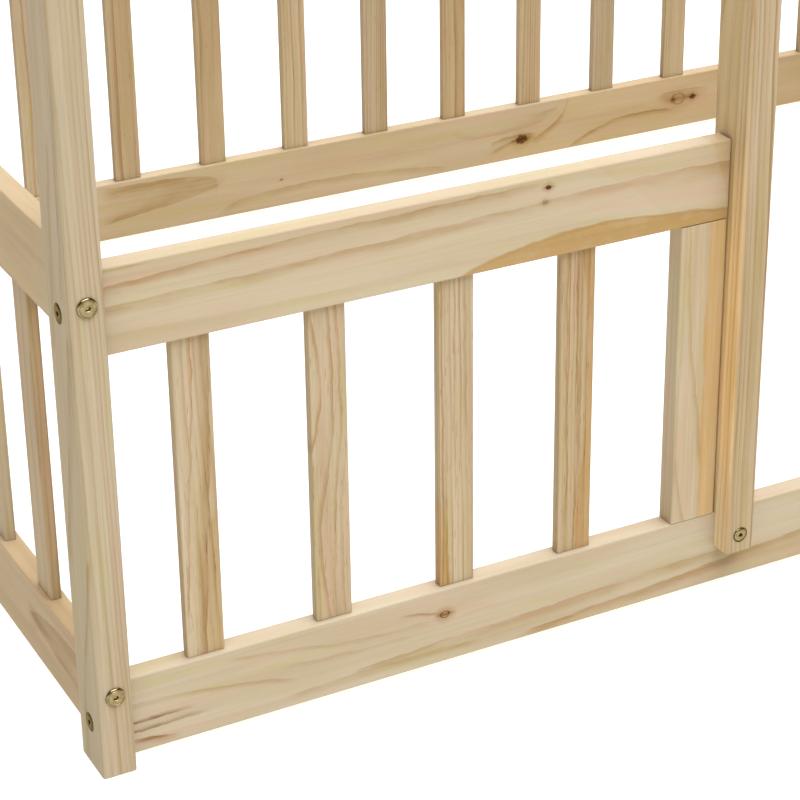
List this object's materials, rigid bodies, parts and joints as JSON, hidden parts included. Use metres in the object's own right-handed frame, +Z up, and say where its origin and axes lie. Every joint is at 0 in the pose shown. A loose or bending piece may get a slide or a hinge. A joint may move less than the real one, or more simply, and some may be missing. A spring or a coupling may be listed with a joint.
{
  "type": "playpen",
  "caption": "Slatted pine playpen: low fence panels between tall corner posts, an open doorway beside a door post in the front, and a top frame.",
  "frame": {"origin": "on the floor, under the middle of the bounding box", "axes": "+X along the front from the fenced end to the doorway end, +Y from the front to the back, +Z up"},
  "size_m": [1.6316, 1.1226, 1.1],
  "materials": {
    "post_pine": "planed pine, lightly lacquered, rounded edges",
    "rail_pine": "planed pine, lightly lacquered, rounded edges",
    "slat_pine": "planed pine, lightly lacquered, rounded edges",
    "bolt_brass": "yellow zinc plate, polished domed heads"
  },
  "bodies": {
    "root": {"corner_post_front_left": "post_pine", "corner_post_front_right": "post_pine", "corner_post_back_left": "post_pine", "corner_post_back_right": "post_pine", "door_post": "post_pine", "front_bottom_rail": "rail_pine", "front_mid_rail": "rail_pine", "front_top_rail": "rail_pine", "front_slat_1": "slat_pine", "front_slat_2": "slat_pine", "front_slat_3": "slat_pine", "front_slat_4": "slat_pine", "front_end_stile": "slat_pine", "back_bottom_rail": "rail_pine", "back_mid_rail": "rail_pine", "back_top_rail": "rail_pine", "back_slat_1": "slat_pine", "back_slat_2": "slat_pine", "back_slat_3": "slat_pine", "back_slat_4": "slat_pine", "back_slat_5": "slat_pine", "back_slat_6": "slat_pine", "back_slat_7": "slat_pine", "back_slat_8": "slat_pine", "back_slat_9": "slat_pine", "back_slat_10": "slat_pine", "back_slat_11": "slat_pine", "back_slat_12": "slat_pine", "back_slat_13": "slat_pine", "left_bottom_rail": "rail_pine", "left_mid_rail": "rail_pine", "left_top_rail": "rail_pine", "left_slat_1": "slat_pine", "left_slat_2": "slat_pine", "left_slat_3": "slat_pine", "left_slat_4": "slat_pine", "left_slat_5": "slat_pine", "left_slat_6": "slat_pine", "left_slat_7": "slat_pine", "left_slat_8": "slat_pine", "right_bottom_rail": "rail_pine", "right_mid_rail": "rail_pine", "right_top_rail": "rail_pine", "right_slat_1": "slat_pine", "right_slat_2": "slat_pine", "right_slat_3": "slat_pine", "right_slat_4": "slat_pine", "right_slat_5": "slat_pine", "right_slat_6": "slat_pine", "right_slat_7": "slat_pine", "right_slat_8": "slat_pine", "bolt_left_post_front_lower": "bolt_brass", "bolt_left_post_front_upper": "bolt_brass", "bolt_left_post_side_lower": "bolt_brass", "bolt_left_post_side_upper": "bolt_brass", "bolt_right_post_front_lower": "bolt_brass", "bolt_right_post_front_upper": "bolt_brass", "bolt_door_post_front_lower": "bolt_brass", "bolt_door_post_front_upper": "bolt_brass", "bolt_right_post_side_lower": "bolt_brass"}
  },
  "joints": []
}
